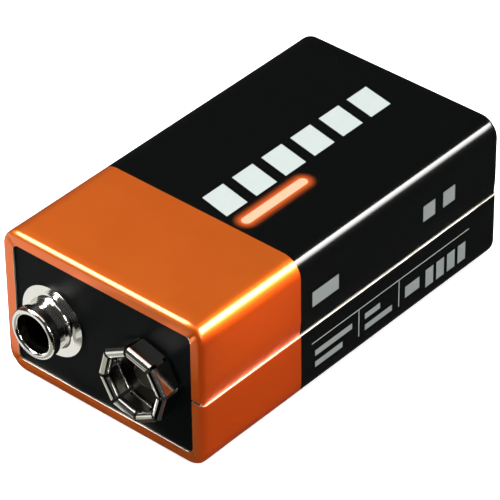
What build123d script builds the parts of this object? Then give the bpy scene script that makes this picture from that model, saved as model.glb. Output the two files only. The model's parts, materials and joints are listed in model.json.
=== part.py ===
from build123d import *
from math import atan2, cos, degrees, hypot, radians, sin, tan
import os

# A nine volt battery that lies on a wide side. X runs across the width, Y from the terminals to the base and
# Z up through the thickness. The origin is under the middle of the whole outline, terminals included.
# All sizes are in millimetres.

# Jacket: one tinplate sheet, folded to a tube, with a flange crimped inwards at each end
sheet = 0.25
corner_radius = 2.2
fold_radius = 0.6
flange_width = 1.53
window_radius = 0.7

# Lap seam on a narrow side: the upper edge of the sheet steps inwards and runs behind the lower one
seam_height = 8.0
seam_lap = 3.0
step_flat = 0.3
step_ramp = 1.6
seam_slit = 0.3

# Cells, in two rows of three
columns = 3
rows = 2
can_diameter = 8.0
cell_length = 40.2
column_gap = 0.3
row_gap = 0.1
shoulder = 0.8
nub_radius = 1.9
nub_height = 0.9
crimp = 0.35
recess_radius = 3.2
recess_depth = 1.2
seal_wall = 0.55
seal_floor = 0.5
seal_gap = 0.05
cap_rise = 0.3
cap_step = 0.5
cap_step_height = 0.35

# What holds and joins the cells
liner_wall = 0.15
liner_gap = 0.1
bundle_gap = 0.05
card_thickness = 0.4
strip_thickness = 0.2
strip_width = 3.0

# End plates
board_thickness = 1.2
board_skirt = 0.8
lead_room = 1.3
base_thickness = 1.2
fit_gap = 0.1

# Terminals, standard snap contacts. The pair stands a little to the positive side of the middle
terminal_spacing = 12.7
terminal_offset = -0.3
stud_height = 2.9
stud_radius = 2.86
stud_band = 0.8
neck_radius = 2.69
neck_height = 1.2
stud_opening = 2.15
stud_flange = 4.0
stud_bend = 0.5
socket_height = 2.9
socket_petals = 8
socket_turn = 30.0
socket_base = 3.95
socket_crown = 4.12
socket_grip = 2.8
socket_grip_depth = 1.1
socket_shelf_drop = 0.48
socket_roll = 0.3
socket_web = 3.3
petal_slot = 0.35
terminal_sheet = 0.25
terminal_bend = 0.25

# Rivets through the terminals and the board
rivet_radius = 0.9
rivet_head = 1.55
rivet_head_height = 0.5
rivet_tail = 1.5
rivet_tail_height = 0.4
rivet_bore = 0.5
rivet_bore_depth = 1.1
rivet_gap = 0.05
lead_eye = 2.1
lead_bend = 0.2
lead_flat = 0.25
lead_slope = 0.9

# Outline of the case, from the cells outwards. It is as wide as the cells need, or the terminals with the
# flange round them, and the cells share the room that is left between them
cells_need = columns * can_diameter + (columns - 1) * column_gap + 2 * (
    bundle_gap + liner_wall + liner_gap + 2 * sheet)
terminals_need = terminal_spacing + 2 * (abs(terminal_offset) + stud_flange + fit_gap + flange_width)
case_width = max(cells_need, terminals_need)
jacket_inside_width = case_width - 2 * sheet
jacket_inside_thickness = rows * can_diameter + (rows - 1) * row_gap + 2 * (
    bundle_gap + liner_wall + liner_gap)
case_thickness = jacket_inside_thickness + 2 * sheet
middle = case_thickness / 2
side = case_width / 2

# Stations along Y, from the front flange to the base
case_length = (2 * sheet + board_thickness + lead_room + 2 * card_thickness + 2 * strip_thickness
               + cell_length + base_thickness)
terminal_reach = max(stud_height, socket_height)
case_front = terminal_reach - (terminal_reach + case_length) / 2
board_front = case_front + sheet
board_back = board_front + board_thickness
card_front = board_back + lead_room
strap_front = card_front + card_thickness
cell_front = strap_front + strip_thickness
cell_back = cell_front + cell_length
strap_back = cell_back + strip_thickness
base_front = strap_back + card_thickness
base_back = base_front + base_thickness
case_back = base_back + sheet

# Places across the case
column_pitch = can_diameter + column_gap + (case_width - cells_need) / (columns - 1)
row_pitch = can_diameter + row_gap
positive_x = terminal_offset - terminal_spacing / 2
negative_x = terminal_offset + terminal_spacing / 2


def facing_front(x, y, z):
    """Frame at a point, with its own x along X, its own y along Z and its own z out of the terminal end."""
    return Plane(origin=(x, y, z), x_dir=(1, 0, 0), z_dir=(0, -1, 0))


def facing_back(x, y, z):
    """Frame at a point, with its own z towards the base."""
    return Plane(origin=(x, y, z), x_dir=(1, 0, 0), z_dir=(0, 1, 0))


def prism(outline, y_start, y_end, x=0.0, z=middle):
    """Extrudes an outline drawn in X and Z along Y."""
    return extrude(facing_front(x, y_start, z) * outline, y_start - y_end)


def rounded_bar(inset, radius, y_start, y_end):
    """Bar along Y with the case's outline, smaller by the inset all round."""
    outline = RectangleRounded(case_width - 2 * inset, case_thickness - 2 * inset, radius)
    return prism(outline, y_start, y_end)


def rounded_outline(corners):
    """Closed outline through corners given as (x, y, radius)."""
    outline = make_face(Polyline(*[(x, y) for x, y, _ in corners], close=True))
    for x, y, radius in corners:
        if radius > 0:
            corner = outline.vertices().sort_by_distance((x, y))[0]
            outline = fillet(corner, radius)
    return outline


def bent_strip(path, thickness, bends):
    """Section of a bent sheet. One face follows the path, the other lies to its left by the thickness
    (to its right if that is negative). Each inner point of the path has its inside bend radius."""
    near = []
    far = []
    for i, (x, y) in enumerate(path):
        before = path[max(i - 1, 0)]
        after = path[min(i + 1, len(path) - 1)]
        turn_in = atan2(y - before[1], x - before[0]) if i > 0 else atan2(after[1] - y, after[0] - x)
        turn_out = atan2(after[1] - y, after[0] - x) if i < len(path) - 1 else turn_in
        half_turn = atan2(sin(turn_out - turn_in), cos(turn_out - turn_in)) / 2
        reach = thickness / cos(half_turn)
        normal = turn_in + half_turn + radians(90)
        bend = bends[i - 1] if 0 < i < len(path) - 1 else 0
        inside_is_far = sin(2 * half_turn) * thickness > 0
        grown = bend + abs(thickness) if bend > 0 else 0
        near.append((x, y, grown if inside_is_far else bend))
        far.append((x + reach * cos(normal), y + reach * sin(normal), bend if inside_is_far else grown))
    return rounded_outline(near + far[::-1])


def turned(outline):
    """Revolves an outline of (radius, height) about its own z axis."""
    return revolve(Plane.XZ * outline, Axis.Z)


def drilled(place, radius, depth):
    """Round hole of a depth to each side of a place."""
    return place * Cylinder(radius, 2 * depth)


def lap_outline(clearance):
    """Inner layer of the lap seam, on the inside of the wall, grown by a clearance."""
    wall_inside = side - sheet
    low = seam_height - seam_lap - clearance - middle
    step_top = seam_height + step_flat + clearance - middle
    depth = sheet + clearance
    ramp_top = step_top + step_ramp * depth / sheet
    return make_face(Polyline(
        (wall_inside, low), (wall_inside - depth, low), (wall_inside - depth, step_top),
        (wall_inside, ramp_top), close=True))


def make_jacket():
    outside = rounded_bar(0, corner_radius, case_front, case_back)
    outside = fillet(outside.faces().filter_by(Axis.Y).edges(), fold_radius)
    inside = rounded_bar(sheet, corner_radius - sheet, board_front, base_back)
    inside = fillet(inside.faces().filter_by(Axis.Y).edges(), fold_radius - sheet)
    tube = outside - inside - rounded_bar(flange_width, window_radius, case_front, case_back)
    tube += prism(lap_outline(0), board_front, base_back)
    foot = seam_height - middle
    groove = make_face(Polyline(
        (side + sheet, foot), (side - sheet, foot), (side - sheet, foot + step_flat),
        (side, foot + step_flat + step_ramp), (side + sheet, foot + step_flat + step_ramp), close=True))
    tube -= prism(groove, case_front, case_back)
    slit = Pos(side - flange_width / 2, foot + seam_slit / 2) * Rectangle(flange_width, seam_slit)
    tube -= prism(slit, case_front, board_front)
    tube -= prism(slit, base_back, case_back)
    return tube


def rounded_plate(inset, y_start, y_end, outer_y):
    """Plate that fills the case's inside, with the edge beside a flange rounded to fit the fold."""
    plate = rounded_bar(inset, corner_radius - inset, y_start, y_end)
    rim = plate.faces().filter_by(Axis.Y).sort_by(lambda face: abs(face.center().Y - outer_y))[0]
    plate = fillet(rim.edges(), fold_radius - sheet)
    return plate - prism(lap_outline(fit_gap), y_start, y_end)


def make_terminal_board():
    inset = sheet + fit_gap
    board = rounded_plate(inset, board_front, card_front, board_front)
    room = inset + sheet + board_skirt
    board -= rounded_bar(room, corner_radius - inset - board_skirt, board_back, card_front)
    for x in (positive_x, negative_x):
        board -= drilled(facing_front(x, board_front, middle), rivet_radius + rivet_gap, board_thickness)
    return board


def make_base_plate():
    return rounded_plate(sheet + fit_gap, base_front, base_back, base_back)


def lead_run(terminal_x, cell):
    """Length and direction of a lead, from its rivet to the middle of its cell."""
    along_x = cell[0] - terminal_x
    along_z = cell[1] - middle
    return hypot(along_x, along_z), degrees(atan2(along_z, along_x))


def lead_plan(terminal_x, cell, clearance):
    """Outline of a lead seen from the front, from its eye to the pad on its cell."""
    run, _ = lead_run(terminal_x, cell)
    arm = Pos(run / 2, 0) * SlotOverall(run + strip_width + 2 * clearance, strip_width + 2 * clearance)
    return Circle(lead_eye + clearance) + arm


def make_lead(terminal_x, cell):
    run, direction = lead_run(terminal_x, cell)
    drop = lead_room + card_thickness
    bend_start = lead_eye + lead_flat
    path = [(-lead_eye, 0), (bend_start, 0), (bend_start + lead_slope, -drop), (run + strip_width, -drop)]
    section = bent_strip(path, -strip_thickness, [lead_bend, lead_bend])
    strip = extrude(Plane.XZ * section, lead_eye, both=True)
    plan = extrude(lead_plan(terminal_x, cell, 0), drop + 2 * strip_thickness, both=True)
    lead = strip & plan
    lead -= Cylinder(rivet_radius + rivet_gap, drop)
    return facing_front(terminal_x, board_back, middle) * Rot(0, 0, direction) * lead


def make_card(y_start, y_end, leads):
    """Insulating card across the ends of the cells, with a window for each lead."""
    inset = sheet + fit_gap
    card = rounded_bar(inset, corner_radius - inset, y_start, y_end)
    card -= prism(lap_outline(fit_gap), y_start, y_end)
    for terminal_x, cell in leads:
        _, direction = lead_run(terminal_x, cell)
        window = extrude(lead_plan(terminal_x, cell, fit_gap), lead_room + card_thickness, both=True)
        card -= facing_front(terminal_x, y_start, middle) * Rot(0, 0, direction) * window
    return card


def make_liner():
    width = jacket_inside_width - 2 * (sheet + liner_gap)
    thickness = jacket_inside_thickness - 2 * liner_gap
    radius = corner_radius - sheet - liner_gap
    sleeve = RectangleRounded(width, thickness, radius)
    sleeve -= RectangleRounded(width - 2 * liner_wall, thickness - 2 * liner_wall, radius - liner_wall)
    return prism(sleeve, strap_front, strap_back)


def make_positive_stud():
    """Drawn stud: a web under the rivet, a wall up to the rolled rim, and down outside over the neck."""
    top = stud_height + sheet
    rim = top - terminal_sheet
    band_foot = rim - stud_band
    hole = rivet_radius + rivet_gap
    roll = 0.45 * (stud_radius - stud_opening)
    section = rounded_outline([
        (hole, terminal_sheet, 0), (stud_opening, terminal_sheet, 0), (stud_opening, top, roll),
        (stud_radius, top, roll), (stud_radius, band_foot, 0), (neck_radius, neck_height, 0),
        (neck_radius, terminal_sheet, stud_bend), (stud_flange, terminal_sheet, 0), (stud_flange, 0, 0),
        (neck_radius - terminal_sheet, 0, 0), (neck_radius - terminal_sheet, neck_height, 0),
        (stud_radius - terminal_sheet, band_foot, 0), (stud_radius - terminal_sheet, rim, 0),
        (stud_opening + terminal_sheet, rim, 0), (stud_opening + terminal_sheet, 0, 0), (hole, 0, 0)])
    return facing_front(positive_x, board_front, middle) * turned(section)


def make_negative_socket():
    """Snap socket: a base disc with a crown of flared petals, each rolled inwards to a gripping lip."""
    top = socket_height + sheet
    shelf = top - socket_shelf_drop
    path = [
        (socket_web - terminal_sheet, 0), (socket_base, 0), (socket_crown, top), (socket_grip, shelf),
        (socket_grip + terminal_sheet, top - socket_grip_depth)]
    shelf_bend = min(socket_roll, 0.41 * (socket_crown - socket_grip) - terminal_sheet)
    section = bent_strip(path, terminal_sheet, [terminal_bend, shelf_bend, shelf_bend])
    strip = extrude(Plane.XZ * section, socket_crown, both=True)
    half_angle = radians(180 / socket_petals)
    slot_reach = petal_slot / 2 / sin(half_angle)
    far = 2 * socket_crown
    spread = (far - slot_reach) * tan(half_angle)
    wedge = make_face(Polyline((slot_reach, 0), (far, spread), (far, -spread), close=True))
    petal = strip & extrude(wedge, 2 * top, both=True)
    socket = Pos(0, 0, terminal_sheet / 2) * Cylinder(socket_web, terminal_sheet)
    for i in range(socket_petals):
        socket += Rot(0, 0, socket_turn + i * 360 / socket_petals) * petal
    socket -= Cylinder(rivet_radius + rivet_gap, 2 * terminal_sheet)
    return facing_front(negative_x, board_front, middle) * socket


def make_rivet(x):
    """Semi-tubular rivet with a domed head on the terminal's web and its tail rolled over the lead's eye."""
    under_head = terminal_sheet
    grip_end = -(board_thickness + strip_thickness)
    tail_end = grip_end - rivet_tail_height
    head_top = under_head + rivet_head_height
    section = rounded_outline([
        (0, head_top, 0), (rivet_head, head_top, 0.8 * rivet_head_height), (rivet_head, under_head, 0),
        (rivet_radius, under_head, 0), (rivet_radius, grip_end, 0), (rivet_tail, grip_end, 0),
        (rivet_tail - rivet_tail_height, tail_end, 0), (rivet_bore, tail_end, 0),
        (rivet_bore, tail_end + rivet_bore_depth, 0), (0, tail_end + rivet_bore_depth, 0)])
    return facing_front(x, board_front, middle) * turned(section)


def cell_places():
    """Middles of the cells in X and Z, in the order in which they are joined in series."""
    places = []
    for column in range(columns):
        x = (column - (columns - 1) / 2) * column_pitch
        heights = [middle + (row - (rows - 1) / 2) * row_pitch for row in range(rows)]
        if column % 2 == 0:
            heights.reverse()
        places += [(x, z) for z in heights]
    return places


def cell_frame(number, cell):
    """Frame with its origin on a cell's nub and its own z towards the cap. Cells face front in turn."""
    if number % 2 == 0:
        return facing_back(cell[0], cell_front, cell[1])
    return facing_front(cell[0], cell_back, cell[1])


def make_cell_can():
    radius = can_diameter / 2
    rim = cell_length - cap_rise
    floor = rim - recess_depth
    return turned(make_face(Polyline(
        (0, 0), (nub_radius, 0), (nub_radius, nub_height), (radius - shoulder, nub_height),
        (radius, nub_height + shoulder), (radius, rim - crimp), (radius - crimp, rim), (recess_radius, rim),
        (recess_radius, floor), (0, floor), close=True)))


def make_cell_seal():
    outer = recess_radius - seal_gap
    inner = outer - seal_wall
    rim = cell_length - cap_rise
    floor = rim - recess_depth
    return turned(make_face(Polyline(
        (0, floor), (outer, floor), (outer, rim), (inner, rim), (inner, floor + seal_floor),
        (0, floor + seal_floor), close=True)))


def make_cell_cap():
    radius = recess_radius - seal_wall - 2 * seal_gap
    foot = cell_length - cap_rise - recess_depth + seal_floor
    step = foot + cap_step_height
    return turned(make_face(Polyline(
        (0, foot), (radius, foot), (radius, step), (radius - cap_step, cell_length), (0, cell_length),
        close=True)))


def make_strap(first, second, y_start):
    """Flat strip welded across two neighbouring cells."""
    span = hypot(second[0] - first[0], second[1] - first[1])
    angle = degrees(atan2(second[1] - first[1], second[0] - first[0]))
    outline = Rot(0, 0, angle) * SlotOverall(span + strip_width, strip_width)
    centre_x = (first[0] + second[0]) / 2
    centre_z = (first[1] + second[1]) / 2
    return prism(outline, y_start, y_start + strip_thickness, centre_x, centre_z)


def build_battery():
    cells = cell_places()
    leads = [(positive_x, cells[0]), (negative_x, cells[-1])]
    pieces = {
        "jacket": make_jacket(),
        "terminal_board": make_terminal_board(),
        "base_plate": make_base_plate(),
        "positive_stud": make_positive_stud(),
        "negative_socket": make_negative_socket(),
        "positive_rivet": make_rivet(positive_x),
        "negative_rivet": make_rivet(negative_x),
        "positive_lead": make_lead(*leads[0]),
        "negative_lead": make_lead(*leads[1]),
        "top_card": make_card(card_front, strap_front, leads),
        "bottom_card": make_card(strap_back, base_front, []),
        "liner": make_liner(),
    }
    can, seal, cap = make_cell_can(), make_cell_seal(), make_cell_cap()
    for number, cell in enumerate(cells):
        frame = cell_frame(number, cell)
        pieces[f"cell_can_{number + 1}"] = frame * can
        pieces[f"cell_seal_{number + 1}"] = frame * seal
        pieces[f"cell_cap_{number + 1}"] = frame * cap
    for number in range(len(cells) // 2):
        pieces[f"back_strap_{number + 1}"] = make_strap(cells[2 * number], cells[2 * number + 1], cell_back)
    for number in range(1, len(cells) // 2):
        pieces[f"front_strap_{number}"] = make_strap(cells[2 * number - 1], cells[2 * number], strap_front)
    return pieces


os.makedirs("parts", exist_ok=True)
for name, piece in build_battery().items():
    export_step(piece, f"parts/{name}.step")
print(f"case {case_width:.2f} x {case_length:.2f} x {case_thickness:.2f} mm, "
      f"{case_length + terminal_reach:.2f} mm with the terminals")
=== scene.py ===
import json
import math
import bmesh
import bpy
from mathutils import Matrix, Vector, noise


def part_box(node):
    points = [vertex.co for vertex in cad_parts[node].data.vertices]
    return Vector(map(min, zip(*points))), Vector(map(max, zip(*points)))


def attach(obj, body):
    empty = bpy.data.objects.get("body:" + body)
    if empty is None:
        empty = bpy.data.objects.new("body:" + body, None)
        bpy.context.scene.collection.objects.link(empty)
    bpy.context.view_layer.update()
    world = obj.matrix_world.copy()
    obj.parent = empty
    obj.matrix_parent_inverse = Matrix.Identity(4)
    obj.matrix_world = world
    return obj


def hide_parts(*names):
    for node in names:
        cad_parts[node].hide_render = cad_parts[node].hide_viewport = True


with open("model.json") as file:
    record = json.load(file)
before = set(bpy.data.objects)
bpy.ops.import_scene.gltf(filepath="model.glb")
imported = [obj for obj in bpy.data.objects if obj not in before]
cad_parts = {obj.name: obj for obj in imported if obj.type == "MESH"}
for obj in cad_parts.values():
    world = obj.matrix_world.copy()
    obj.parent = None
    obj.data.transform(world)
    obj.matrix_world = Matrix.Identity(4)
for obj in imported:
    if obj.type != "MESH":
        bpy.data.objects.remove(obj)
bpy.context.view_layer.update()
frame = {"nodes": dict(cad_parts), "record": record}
nodes = frame["nodes"]
print("frame loaded,", len(nodes), "nodes")

mm = 0.001

# where the camera stood, worked out from the edges of the battery in the photograph
cameraView = {
    "place": (0.19023, -0.21546, 0.22397),
    "azimuth": 41.369,
    "elevation": 36.886,
    "roll": 0.756,
    "lens": 257.17,
    "sensor": 36.0,
}


def makeCamera():
    azimuth, elevation, roll = (math.radians(cameraView[k]) for k in ("azimuth", "elevation", "roll"))
    back = Vector((math.sin(azimuth) * math.cos(elevation), -math.cos(azimuth) * math.cos(elevation),
                   math.sin(elevation)))
    right = Vector((math.cos(azimuth), math.sin(azimuth), 0))
    up = back.cross(right)
    right, up = right * math.cos(roll) - up * math.sin(roll), up * math.cos(roll) + right * math.sin(roll)
    data = bpy.data.cameras.new("camera")
    data.lens, data.sensor_width = cameraView["lens"], cameraView["sensor"]
    data.clip_start, data.clip_end = 0.01, 20
    camera = bpy.data.objects.new("camera", data)
    camera.matrix_world = Matrix((
        (right.x, up.x, back.x, cameraView["place"][0]),
        (right.y, up.y, back.y, cameraView["place"][1]),
        (right.z, up.z, back.z, cameraView["place"][2]),
        (0, 0, 0, 1)))
    bpy.context.scene.collection.objects.link(camera)
    bpy.context.scene.camera = camera


# softboxes, each with one side along its axis and aimed at the battery's middle or at its target;
# those marked glossyOnly show in reflections alone
studioLights = {
    "overheadLeft": {
        "place": (-0.50, -0.20, 0.86), "size": (0.60, 0.75), "along": (0, 1, 0), "radiance": 11.2, "glossyOnly": False},
    "foldStrip": {
        "place": (-0.557, -0.30, 0.76), "size": (1.25, 0.22), "along": (0, 1, 0.42), "radiance": 14.5,
        "glossyOnly": True},
    "filletStrip": {  # close above the long right edge, beaming down
        "place": (0.0166, 0.0058, 0.01917), "target": (0.0166, 0.0058, 0.0), "size": (0.0500, 0.0056),
        "along": (0, 1, 0), "radiance": 82.0, "glossyOnly": True, "spread": 136},
    "rightSide": {
        "place": (0.95, -0.10, 0.55), "size": (0.40, 0.40), "along": (0, 1, 0), "radiance": 11.0, "glossyOnly": False},
    "overheadFill": {
        "place": (0.10, 0.05, 1.10), "size": (0.90, 0.90), "along": (1, 0, 0), "radiance": 1.2, "glossyOnly": False},
}
studio = {
    "lampColour": (1.0, 0.99, 0.97),
    "worldGrey": 0.05,
    "floorColour": (0.93, 0.93, 0.93),
    "floorGlow": 0.55,
    "wallRadius": 2.5,
    "wallHeight": 2.2,
    "wallBend": 1.0,
}

# cards on the table round the battery, as (corners, height, glow), which show in reflections alone
reflectorCards = {
    "whiteCard": (
        ((-0.30, -0.20), (0.0015, -0.20), (0.0015, -0.0230), (-0.30, -0.0230)), 0.0001, (1.02, 1.02, 0.98)),
    "darkCard": (
        ((-0.0135, -0.40), (0.20, -0.40), (0.20, -0.0280), (-0.0135, -0.0280)), 0.0002, (0.0, 0.0, 0.0)),
    "oliveCard": (
        ((-0.0125, -0.0385), (0.0035, -0.0385), (0.0035, -0.0285), (-0.0125, -0.0285)), 0.0003, (0.44, 0.45, 0.36)),
    "sideCard": (
        ((0.0140, -0.0215), (0.0215, -0.0135), (0.0215, 0.0015), (0.0140, -0.0060)), 0.0001, (0.16, 0.09, 0.03)),
    "sideCardFar": (
        ((0.0215, -0.0135), (0.0290, -0.0055), (0.0290, 0.0095), (0.0215, 0.0015)), 0.0001, (0.36, 0.19, 0.06)),
}


def makeLights():
    for name, light in studioLights.items():
        data = bpy.data.lights.new(name, "AREA")
        data.shape = "RECTANGLE"
        data.size, data.size_y = light["size"]
        data.energy = light["radiance"] * math.pi * data.size * data.size_y
        data.color = studio["lampColour"]
        if "spread" in light:  # Blender gathers the power into the beam, so less gives the same radiance
            half = math.radians(light["spread"] / 2)
            data.spread = 2 * half
            data.energy *= 1 - half / math.tan(half)
        back = (Vector(light["place"]) - Vector(light.get("target", (0, 0, 0)))).normalized()
        up = back.cross(Vector(light["along"])).normalized()
        lamp = bpy.data.objects.new(name, data)
        turn = Matrix((up.cross(back), up, back)).transposed().to_4x4()
        lamp.matrix_world = Matrix.Translation(light["place"]) @ turn
        lamp.visible_camera = False
        lamp.visible_diffuse = not light["glossyOnly"]
        bpy.context.scene.collection.objects.link(lamp)
    world = bpy.data.worlds.new("studio")
    world.use_nodes = True
    grey = studio["worldGrey"]
    world.node_tree.nodes["Background"].inputs["Color"].default_value = (grey, grey, grey, 1)
    bpy.context.scene.world = world
    bpy.context.scene.view_settings.view_transform = "Standard"


def makeMesh(name, points, faces, smooth=True):
    mesh = bpy.data.meshes.new(name)
    mesh.from_pydata(points, [], faces)
    mesh.polygons.foreach_set("use_smooth", [smooth] * len(mesh.polygons))
    mesh.update()
    piece = bpy.data.objects.new(name, mesh)
    bpy.context.scene.collection.objects.link(piece)
    return piece


def makeBackdrop():
    # a floor that curves up into a round wall, so that every view has the same pale ground
    turns, outline = 96, []
    radius, height, bend = studio["wallRadius"], studio["wallHeight"], studio["wallBend"]
    for r in (0.0, 0.3, 0.8, radius - bend):
        outline.append((r, 0.0))
    for i in range(1, 13):
        a = math.radians(90 * i / 12)
        outline.append((radius - bend + bend * math.sin(a), bend - bend * math.cos(a)))
    outline.append((radius, height))
    points, faces = [(0, 0, 0)], []
    for r, z in outline[1:]:
        for i in range(turns):
            a = 2 * math.pi * i / turns
            points.append((r * math.cos(a), r * math.sin(a), z))
    for i in range(turns):
        faces.append((0, 1 + i, 1 + (i + 1) % turns))
    for ring in range(len(outline) - 2):
        for i in range(turns):
            a, b = 1 + ring * turns + i, 1 + ring * turns + (i + 1) % turns
            faces.append((a, a + turns, b + turns, b))
    floor = makeMesh("floor", points, faces)
    material, shader, _ = newMaterial("paleFloor")
    shader.inputs["Base Color"].default_value = (*studio["floorColour"], 1)
    shader.inputs["Roughness"].default_value = 0.9
    shader.inputs["Emission Color"].default_value = (1, 1, 1, 1)
    shader.inputs["Emission Strength"].default_value = studio["floorGlow"]
    floor.data.materials.append(material)
    floor.visible_glossy = False


def makeReflectorCards():
    for name, (corners, height, glow) in reflectorCards.items():
        sheet = makeMesh(name, [(x, y, height) for x, y in corners], [(0, 1, 2, 3)], smooth=False)
        material, shader, _ = newMaterial(name)
        shader.inputs["Base Color"].default_value = (0, 0, 0, 1)
        shader.inputs["Specular IOR Level"].default_value = 0.0
        shader.inputs["Emission Color"].default_value = (*glow, 1)
        shader.inputs["Emission Strength"].default_value = 1.0
        sheet.data.materials.append(material)
        sheet.visible_camera = False
        sheet.visible_diffuse = False
        sheet.visible_shadow = False


def newMaterial(name):
    material = bpy.data.materials.new(name)
    material.use_nodes = True
    tree = material.node_tree
    return material, tree.nodes["Principled BSDF"], tree


def addNode(tree, kind, **settings):
    node = tree.nodes.new(kind)
    for key, value in settings.items():
        setattr(node, key, value)
    return node


def plug(tree, sockets, values):
    for socket, value in zip(sockets, values):
        if isinstance(value, (int, float, tuple)):
            socket.default_value = value
        elif value is not None:
            tree.links.new(value, socket)


def addMath(tree, operation, first, second=None, third=None):
    node = addNode(tree, "ShaderNodeMath", operation=operation)
    plug(tree, node.inputs, (first, second, third))
    return node.outputs[0]


def addMix(tree, share, first, second):
    node = addNode(tree, "ShaderNodeMix", data_type="RGBA")
    plug(tree, (node.inputs[0], node.inputs[6], node.inputs[7]), (share, first, second))
    return node.outputs[2]


def addNoise(tree, scale, detail=3.0, roughness=0.5, stretch=(1, 1, 1)):
    place = addNode(tree, "ShaderNodeTexCoord")
    mapping = addNode(tree, "ShaderNodeMapping")
    mapping.inputs["Scale"].default_value = [s * scale for s in stretch]
    texture = addNode(tree, "ShaderNodeTexNoise")
    texture.inputs["Scale"].default_value = 1.0
    texture.inputs["Detail"].default_value = detail
    texture.inputs["Roughness"].default_value = roughness
    tree.links.new(place.outputs["Object"], mapping.inputs["Vector"])
    tree.links.new(mapping.outputs["Vector"], texture.inputs["Vector"])
    return texture.outputs["Fac"]


def addBump(tree, shader, height, distance, strength=1.0):
    bump = addNode(tree, "ShaderNodeBump")
    bump.inputs["Strength"].default_value = strength
    bump.inputs["Distance"].default_value = distance
    tree.links.new(height, bump.inputs["Height"])
    tree.links.new(bump.outputs["Normal"], shader.inputs["Normal"])


def addRamp(tree, value, low, high, lowOut=0.0, highOut=1.0, kind="LINEAR"):
    node = addNode(tree, "ShaderNodeMapRange", interpolation_type=kind)
    plug(tree, node.inputs[:5], (value, low, high, lowOut, highOut))
    return node.outputs["Result"]


def addBand(tree, value, low, high):
    # depth of a value inside a band, negative outside it
    offset = addMath(tree, "ABSOLUTE", addMath(tree, "SUBTRACT", value, (low + high) / 2))
    return addMath(tree, "SUBTRACT", (high - low) / 2, offset)


def addInk(tree, depths):
    # 1 where every depth is positive, with an edge as soft as print on tin
    depth = depths[0]
    for other in depths[1:]:
        depth = addMath(tree, "MINIMUM", depth, other)
    return addRamp(tree, depth, -jacketPrint["edgeSoftness"], jacketPrint["edgeSoftness"])


# the jacket: one sheet of tinplate, folded round the cells and crimped over both ends
jacket = {
    "sheet": 0.25 * mm,
    "cornerRadius": 2.2 * mm,
    "foldRadius": 0.6 * mm,
    "flangeWidth": 1.53 * mm,
    "seamHeight": 8.0 * mm,  # where the outer layer of the lap seam is cut
    "seamLap": 3.0 * mm,
    "seamStep": 0.16 * mm,  # how far the inner layer sinks behind the outer one's edge
    "stepFlat": 0.3 * mm,
    "stepRamp": 1.6 * mm,
    "edgeBreak": 0.035 * mm,
    "waviness": 0.030 * mm,
    "waveLength": 11 * mm,
    "pleatDepth": 0.13 * mm,
    "pleatWidth": 0.20 * mm,
}


def spread(first, last, steps):
    return [first + (last - first) * i / steps for i in range(steps + 1)]


def jacketStations():
    # places round the tube, as (centreX, centreZ, normalX, normalZ, outer shift, inner shift)
    low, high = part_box("jacket")
    radius, sheet = jacket["cornerRadius"], jacket["sheet"]
    halfX, halfZ = (high[0] - low[0]) / 2 - radius, (high[2] - low[2]) / 2 - radius
    middle = (high[2] + low[2]) / 2
    seam = jacket["seamHeight"] - middle
    flatTop, rampTop = seam + jacket["stepFlat"], seam + jacket["stepFlat"] + jacket["stepRamp"]
    lapFoot, edge, step = seam - jacket["seamLap"], jacket["edgeBreak"], jacket["seamStep"]
    rightSide = [(z, 0, 0) for z in spread(-halfZ, lapFoot, 4)]
    rightSide += [(z, 0, -sheet) for z in spread(lapFoot, seam - edge, 6)]
    rightSide += [(seam, -edge, -sheet), (seam, -step, -sheet), (flatTop, -step, -sheet)]
    for z in spread(flatTop, rampTop, 4)[1:]:
        left = (rampTop - z) / (rampTop - flatTop)
        rightSide.append((z, -step * left, -sheet * left))
    rightSide += [(z, 0, 0) for z in spread(rampTop, halfZ, 8)[1:]]
    stations = [(halfX, z, 1, 0, outer, inner) for z, outer, inner in rightSide]
    sides = (
        (halfX, halfZ, [(x, halfZ, 0, 1, 0, 0) for x in spread(halfX, -halfX, 26)]),
        (-halfX, halfZ, [(-halfX, z, -1, 0, 0, 0) for z in spread(halfZ, -halfZ, 15)]),
        (-halfX, -halfZ, [(x, -halfZ, 0, -1, 0, 0) for x in spread(-halfX, halfX, 26)]),
        (halfX, -halfZ, []))
    for turn, (cornerX, cornerZ, side) in enumerate(sides):
        for angle in spread(turn * math.pi / 2, (turn + 1) * math.pi / 2, 12)[1:-1]:
            stations.append((cornerX, cornerZ, math.cos(angle), math.sin(angle), 0, 0))
        stations += side
    return stations, middle


def jacketEnd(y, inwards):
    # the sheet's outline from the wall over the fold to the window's edge, and back behind the flange
    sheet, fold, flange, edge = jacket["sheet"], jacket["foldRadius"], jacket["flangeWidth"], jacket["edgeBreak"]
    half = []
    for angle in spread(0, math.pi / 2, 8)[1:]:
        inset = fold * (1 - math.cos(angle))
        half.append((inset, y + inwards * fold * (1 - math.sin(angle)), 1 - inset / fold, 0, True))
    half += [
        (0.6 * fold + 0.4 * flange, y, 0, 0, True), (0.2 * fold + 0.8 * flange, y, 0, 0, True),
        (flange - edge, y, 0, 0, True), (flange, y + inwards * edge, 0, 0, False),
        (flange, y + inwards * (sheet - edge), 0, 0, False), (flange - edge, y + inwards * sheet, 0, 0, False)]
    for angle in spread(0, math.pi / 2, 5):
        inset = sheet + (fold - sheet) * (1 - math.sin(angle))
        depth = sheet + (fold - sheet) * (1 - math.cos(angle))
        half.append((inset, y + inwards * depth, 0, math.sin(angle), False))
    return half


def jacketProfile():
    # the sheet's outline along the battery, as (inset, y, share of outer shift, share of inner shift, printed)
    low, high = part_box("jacket")
    sheet, fold = jacket["sheet"], jacket["foldRadius"]
    profile = [(0, y, 1, 0, True) for y in spread(high[1] - fold, low[1] + fold, 44)]
    profile += jacketEnd(low[1], 1)
    profile += [(sheet, y, 0, 1, False) for y in spread(low[1] + fold, high[1] - fold, 44)[1:-1]]
    profile += jacketEnd(high[1], -1)[::-1]
    return profile


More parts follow.
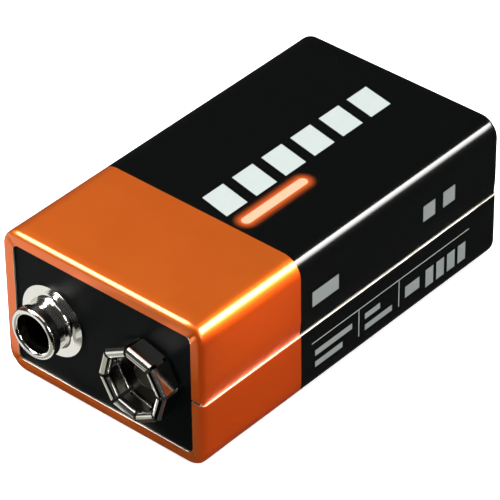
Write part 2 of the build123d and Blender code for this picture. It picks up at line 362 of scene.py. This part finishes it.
def waveAt(x, y, z):
    length = jacket["waveLength"]
    return -jacket["waviness"] * (0.5 + 0.5 * noise.noise(Vector((x / length, y / length, z / length + 3.1))))


def pleatAt(inset, normalX, normalZ):
    # how deep the gathered metal sinks at a corner of a flange
    if min(abs(normalX), abs(normalZ)) < 0.05 or inset < 0.1 * mm or inset >= jacket["flangeWidth"]:
        return 0
    across = (math.atan2(abs(normalZ), abs(normalX)) - math.pi / 4) * (jacket["cornerRadius"] - inset)
    return jacket["pleatDepth"] * math.exp(-(across / jacket["pleatWidth"]) ** 2) * min(1, inset / (0.5 * mm))


def makeJacket():
    stations, middle = jacketStations()
    profile = jacketProfile()
    low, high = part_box("jacket")
    radius, sheet, fold = jacket["cornerRadius"], jacket["sheet"], jacket["foldRadius"]
    front, back = low[1] + sheet, high[1] - sheet
    points = []
    for inset, y, outerShare, innerShare, _ in profile:
        fade = min(1, max(0, (min(y - low[1], high[1] - y) - fold) / (3 * mm)))
        outside = y < front - jacket["edgeBreak"] / 2 or y > back + jacket["edgeBreak"] / 2
        for centreX, centreZ, normalX, normalZ, outer, inner in stations:
            reach = radius - inset + outerShare * outer + innerShare * inner
            x, z = centreX + normalX * reach, centreZ + normalZ * reach + middle
            sink = fade * waveAt(x, y, z)
            push = math.copysign(pleatAt(inset, normalX, normalZ), -y) if outside else 0
            points.append((x + normalX * sink, y + push, z + normalZ * sink))
    count, rings = len(stations), len(profile)
    seam = jacket["seamHeight"] - middle
    edgeCell, slitCell = [j for j in range(count) if stations[j][2] == 1 and abs(stations[j][1] - seam) < 1e-9]
    tiny = 1e-9
    chains = [[n for n in range(rings) if profile[n][1] <= front + tiny],
              [n for n in range(rings) if profile[n][1] >= back - tiny]]
    faces, finishes = [], []
    for i in range(rings):
        k = (i + 1) % rings
        inFlange = any(i in chain and k in chain for chain in chains)
        for j in range(count):
            if j == slitCell and inFlange:
                continue
            m = (j + 1) % count
            faces.append((i * count + j, k * count + j, k * count + m, i * count + m))
            finishes.append(0 if profile[i][4] and profile[k][4] and j != edgeCell else 1)
    for chain in chains:
        first, last = chain[0] * count + slitCell, chain[-1] * count + slitCell
        faces += [[n * count + slitCell for n in chain], [n * count + slitCell + 1 for n in chain],
                  (first, first + 1, last + 1, last)]
        finishes += [1, 1, 1]
    piece = makeMesh("jacketSheet", points, faces)
    piece.data.polygons.foreach_set("material_index", finishes)
    piece.data.materials.append(makePrintMaterial())
    piece.data.materials.append(makeTinMaterial())
    tidyMesh(piece)
    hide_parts("jacket")
    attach(piece, "root")
    print("jacket folded,", len(piece.data.polygons), "faces")


def tidyMesh(piece):
    mesh = bmesh.new()
    mesh.from_mesh(piece.data)
    bmesh.ops.remove_doubles(mesh, verts=mesh.verts, dist=1e-7)
    bmesh.ops.recalc_face_normals(mesh, faces=mesh.faces)
    mesh.to_mesh(piece.data)
    mesh.free()
    piece.data.set_sharp_from_angle(angle=math.radians(38))


# the print: copper at the terminal end, black for the rest, with a gauge of pale bars and a ruled table
jacketPrint = {
    "boundary": -6.95 * mm,
    "copper": (0.65, 0.132, 0.0150, 1),
    "copperDeep": (0.59, 0.104, 0.0090, 1),
    # painted shade: a deeper red for the copper on the right side and right flange
    "copperPaintedShadeSide": (0.68, 0.078, 0.0050, 1),
    "black": (0.0012, 0.0016, 0.0014, 1),
    "pale": (0.36, 0.40, 0.395, 1),
    "dim": (0.20, 0.22, 0.215, 1),
    "amber": (0.62, 0.10, 0.014, 1),
    "lampCore": (0.60, 0.33, 0.21, 1),
    "copperMetallic": 0.80,
    "copperRoughness": 0.36,
    "blackRoughness": 0.34,
    "varnish": 0.7,
    "varnishRoughness": 0.16,
    "edgeSoftness": 0.02 * mm,
    "gauge": {"lowX": -1.1 * mm, "highX": 2.8 * mm, "lowY": -6.0 * mm, "bars": 6, "bar": 3.1 * mm,
              "pitch": 4.45 * mm, "slant": 0.20},
    "lamp": {"middleX": 4.7 * mm, "halfX": 0.55 * mm, "lowY": -5.2 * mm, "highY": 3.2 * mm, "glow": 1.7 * mm},
}

# small marks on the seam side, each as (lowY, lowZ, highY, highZ) in millimetres
sideMarks = {
    "rules": [(-5.3, 6.02, 19.6, 6.14), (1.9, 2.7, 2.02, 6.1), (8.24, 2.7, 8.36, 6.1)],
    "blocks": [(-5.2, 10.6, -1.2, 12.4), (12.0, 11.2, 13.9, 13.1), (15.2, 11.2, 17.1, 13.1), (-4.8, 4.3, 0.9, 5.0),
               (-4.8, 2.9, -0.6, 3.6), (2.9, 4.3, 5.3, 5.0), (2.9, 2.9, 7.2, 3.6), (9.3, 3.2, 11.6, 4.6)],
    "row": {"lowY": 12.6, "lowZ": 2.6, "highZ": 4.8, "marks": 4, "mark": 1.25, "pitch": 1.75},
}


def addBarRow(tree, along, across, lowAlong, lowAcross, highAcross, count, bar, pitch):
    local = addMath(tree, "FLOORED_MODULO", addMath(tree, "SUBTRACT", along, lowAlong), pitch)
    span = addBand(tree, along, lowAlong - (pitch - bar) / 2, lowAlong + count * pitch - (pitch - bar) / 2)
    return addInk(tree, [addBand(tree, local, 0, bar), addBand(tree, across, lowAcross, highAcross), span])


def addTopPrint(tree, x, y, colour):
    gauge, lamp = jacketPrint["gauge"], jacketPrint["lamp"]
    slanted = addMath(tree, "MULTIPLY_ADD", addMath(tree, "SUBTRACT", x, gauge["lowX"]), gauge["slant"], y)
    lowY = gauge["lowY"] + gauge["slant"] * (gauge["highX"] - gauge["lowX"])
    bars = addBarRow(tree, slanted, x, lowY, gauge["lowX"], gauge["highX"], gauge["bars"], gauge["bar"], gauge["pitch"])
    offX = addMath(tree, "SUBTRACT", x, lamp["middleX"])
    middleY, halfY = (lamp["lowY"] + lamp["highY"]) / 2, (lamp["highY"] - lamp["lowY"]) / 2
    offY = addMath(tree, "ABSOLUTE", addMath(tree, "SUBTRACT", y, middleY))
    pastEnd = addMath(tree, "MAXIMUM", addMath(tree, "SUBTRACT", offY, halfY), 0.0)
    distance = addMath(tree, "SQRT", addMath(tree, "ADD", addMath(tree, "POWER", offX, 2.0),
                                             addMath(tree, "POWER", pastEnd, 2.0)))
    glow = addRamp(tree, distance, 0.0, lamp["glow"], 0.85, 0.0, "SMOOTHERSTEP")
    core = addRamp(tree, distance, lamp["halfX"] - 0.04 * mm, lamp["halfX"] + 0.04 * mm, 1.0, 0.0)
    colour = addMix(tree, glow, colour, jacketPrint["amber"])
    colour = addMix(tree, core, colour, jacketPrint["lampCore"])
    return addMix(tree, bars, colour, jacketPrint["pale"])


def addSidePrint(tree, y, z, colour):
    def ink(areas):
        mask = None
        for area in areas:
            lowY, lowZ, highY, highZ = (value * mm for value in area)
            box = addInk(tree, [addBand(tree, y, lowY, highY), addBand(tree, z, lowZ, highZ)])
            mask = box if mask is None else addMath(tree, "MAXIMUM", mask, box)
        return mask
    row = sideMarks["row"]
    marks = addBarRow(tree, y, z, row["lowY"] * mm, row["lowZ"] * mm, row["highZ"] * mm, row["marks"],
                      row["mark"] * mm, row["pitch"] * mm)
    pale = addMath(tree, "MAXIMUM", ink(sideMarks["blocks"]), marks)
    colour = addMix(tree, ink(sideMarks["rules"]), colour, jacketPrint["dim"])
    return addMix(tree, addMath(tree, "MULTIPLY", pale, 0.75), colour, jacketPrint["dim"])


def makePrintMaterial():
    material, shader, tree = newMaterial("printedTinplate")
    place = addNode(tree, "ShaderNodeTexCoord")
    parts = addNode(tree, "ShaderNodeSeparateXYZ")
    tree.links.new(place.outputs["Object"], parts.inputs[0])
    x, y, z = parts.outputs
    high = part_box("jacket")[1]
    isBlack = addRamp(tree, y, jacketPrint["boundary"] - 0.03 * mm, jacketPrint["boundary"] + 0.03 * mm)
    onTop = addMath(tree, "GREATER_THAN", z, high[2] - 0.3 * mm)
    onSide = addMath(tree, "GREATER_THAN", x, high[0] - 0.3 * mm)
    copper = addMix(tree, addNoise(tree, 180, 4), jacketPrint["copperDeep"], jacketPrint["copper"])
    # painted shade: the copper turns a deeper red towards the right side and over the right flange
    copper = addMix(tree, addRamp(tree, x, high[0] - 1.4 * mm, high[0] - 0.2 * mm), copper, jacketPrint["copperPaintedShadeSide"])
    dark = jacketPrint["black"]
    dark = addMix(tree, onTop, dark, addTopPrint(tree, x, y, jacketPrint["black"]))
    dark = addMix(tree, onSide, dark, addSidePrint(tree, y, z, jacketPrint["black"]))
    tree.links.new(addMix(tree, isBlack, copper, dark), shader.inputs["Base Color"])
    tree.links.new(addRamp(tree, isBlack, 0.0, 1.0, jacketPrint["copperMetallic"], 0.0), shader.inputs["Metallic"])
    rough = addRamp(tree, isBlack, 0.0, 1.0, jacketPrint["copperRoughness"], jacketPrint["blackRoughness"])
    tree.links.new(addMath(tree, "MULTIPLY_ADD", addNoise(tree, 2600, 3), 0.06, rough), shader.inputs["Roughness"])
    shader.inputs["Specular IOR Level"].default_value = 0.0
    shader.inputs["Coat Weight"].default_value = jacketPrint["varnish"]
    shader.inputs["Coat Roughness"].default_value = jacketPrint["varnishRoughness"]
    addBump(tree, shader, addNoise(tree, 900, 2), 0.002 * mm)
    return material


tinLook = {"shade": (0.46, 0.43, 0.38, 1), "colour": (0.68, 0.64, 0.57, 1), "roughness": (0.38, 0.52)}


def makeTinMaterial():
    material, shader, tree = newMaterial("bareTin")
    streaks = addNoise(tree, 1500, 4, stretch=(1, 0.2, 1))
    tree.links.new(addMix(tree, streaks, tinLook["shade"], tinLook["colour"]), shader.inputs["Base Color"])
    tree.links.new(addRamp(tree, streaks, 0.3, 0.7, *tinLook["roughness"]), shader.inputs["Roughness"])
    shader.inputs["Metallic"].default_value = 1.0
    addBump(tree, shader, streaks, 0.003 * mm)
    return material


nickelLook = {
    "colour": (0.80, 0.79, 0.76, 1),
    "shade": (0.70, 0.69, 0.65, 1),
    # painted shade: a dark colour laid deep inside the stud and the socket
    "paintedShade": (0.045, 0.040, 0.032, 1),
    "roughness": 0.08,
    "insides": {"positive_stud": 2.25 * mm, "negative_socket": 3.75 * mm},  # radius that the painted shade fills
    "paintedShadeDepth": (0.5 * mm, 1.3 * mm),  # how far below the rim it starts, and is full
}


def makeNickelMaterial():
    material, shader, tree = newMaterial("nickelPlate")
    shader.inputs["Metallic"].default_value = 1.0
    streaks = addNoise(tree, 900, 4, stretch=(1, 6, 1))
    place = addNode(tree, "ShaderNodeTexCoord")
    parts = addNode(tree, "ShaderNodeSeparateXYZ")
    tree.links.new(place.outputs["Object"], parts.inputs[0])
    x, y, z = parts.outputs
    # painted shade: the nickel darkens with depth inside the stud and the socket, where shade falls
    inside = None
    for name, radius in nickelLook["insides"].items():
        low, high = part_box(name)
        offX = addMath(tree, "SUBTRACT", x, (low[0] + high[0]) / 2)
        offZ = addMath(tree, "SUBTRACT", z, (low[2] + high[2]) / 2)
        away = addMath(tree, "SQRT", addMath(tree, "MULTIPLY_ADD", offX, offX, addMath(tree, "POWER", offZ, 2.0)))
        within = addRamp(tree, away, radius - 0.1 * mm, radius + 0.1 * mm, 1.0, 0.0)
        start, full = nickelLook["paintedShadeDepth"]
        deep = addMath(tree, "MULTIPLY", within, addRamp(tree, y, low[1] + start, low[1] + full))
        inside = deep if inside is None else addMath(tree, "MAXIMUM", inside, deep)
    bright = addMix(tree, addNoise(tree, 260, 3), nickelLook["shade"], nickelLook["colour"])
    tree.links.new(addMix(tree, inside, bright, nickelLook["paintedShade"]), shader.inputs["Base Color"])
    rough = addRamp(tree, streaks, 0.3, 0.7, nickelLook["roughness"], nickelLook["roughness"] + 0.06)
    tree.links.new(addMath(tree, "MULTIPLY_ADD", inside, 0.20, rough), shader.inputs["Roughness"])
    addBump(tree, shader, streaks, 0.0003 * mm)
    return material


boardLook = {"colour": (0.0018, 0.0026, 0.0028, 1), "shade": (0.0010, 0.0015, 0.0018, 1), "roughness": 0.48}


def makePlasticMaterial():
    material, shader, tree = newMaterial("blackBoard")
    cloud = addNoise(tree, 300, 3)
    tree.links.new(addRamp(tree, cloud, 0.3, 0.7, boardLook["roughness"] - 0.05, boardLook["roughness"] + 0.06),
                   shader.inputs["Roughness"])
    tree.links.new(addMix(tree, cloud, boardLook["shade"], boardLook["colour"]), shader.inputs["Base Color"])
    shader.inputs["Specular IOR Level"].default_value = 0.04
    addBump(tree, shader, addNoise(tree, 5200, 3), 0.004 * mm)
    return material


# plain finishes of what the jacket hides
hiddenLooks = {
    "cellSteel": {"colours": ((0.60, 0.60, 0.60, 1), (0.50, 0.50, 0.51, 1)), "metallic": 1.0, "roughness": 0.30,
                  "grain": 1500, "stretch": (1, 0.08, 1)},
    "nickelStrip": {"colours": ((0.68, 0.67, 0.63, 1), (0.60, 0.59, 0.56, 1)), "metallic": 1.0, "roughness": 0.34,
                    "grain": 1800, "stretch": (1, 1, 0.1)},
    "sealNylon": {"colours": ((0.80, 0.79, 0.74, 1), (0.72, 0.71, 0.66, 1)), "metallic": 0.0, "roughness": 0.55,
                  "grain": 900, "stretch": (1, 1, 1)},
    "greyCard": {"colours": ((0.42, 0.33, 0.23, 1), (0.33, 0.26, 0.18, 1)), "metallic": 0.0, "roughness": 0.85,
                 "grain": 2400, "stretch": (1, 1, 1)},
    "linerFilm": {"colours": ((0.72, 0.70, 0.63, 1), (0.64, 0.62, 0.56, 1)), "metallic": 0.0, "roughness": 0.60,
                  "grain": 1600, "stretch": (1, 1, 1)},
}


def makeHiddenMaterial(name):
    look = hiddenLooks[name]
    material, shader, tree = newMaterial(name)
    grain = addNoise(tree, look["grain"], 4, stretch=look["stretch"])
    tree.links.new(addMix(tree, grain, *look["colours"]), shader.inputs["Base Color"])
    tree.links.new(addRamp(tree, grain, 0.3, 0.7, look["roughness"] - 0.06, look["roughness"] + 0.08),
                   shader.inputs["Roughness"])
    shader.inputs["Metallic"].default_value = look["metallic"]
    addBump(tree, shader, grain, 0.004 * mm)
    return material


def dressNodes():
    finishes = {name: makeHiddenMaterial(name) for name in hiddenLooks}
    finishes["nickelPlate"] = makeNickelMaterial()
    finishes["blackBoard"] = makePlasticMaterial()
    wearer = {
        "black_plastic": "blackBoard", "nickel_plate": "nickelPlate", "nickel_strip": "nickelStrip",
        "cell_steel": "cellSteel", "seal_nylon": "sealNylon", "card": "greyCard", "liner_film": "linerFilm"}
    slots = {row["node"]: row["material_slot"] for row in frame["record"]["subparts"]}
    for name, piece in nodes.items():
        if name == "jacket":
            continue
        for slot in piece.material_slots:
            slot.link = "OBJECT"
            slot.material = finishes[wearer[slots[name]]]
    print("finishes on", len(nodes) - 1, "nodes")


makeCamera()
makeLights()
makeBackdrop()
makeReflectorCards()
dressNodes()
makeJacket()

print("battery dressed")
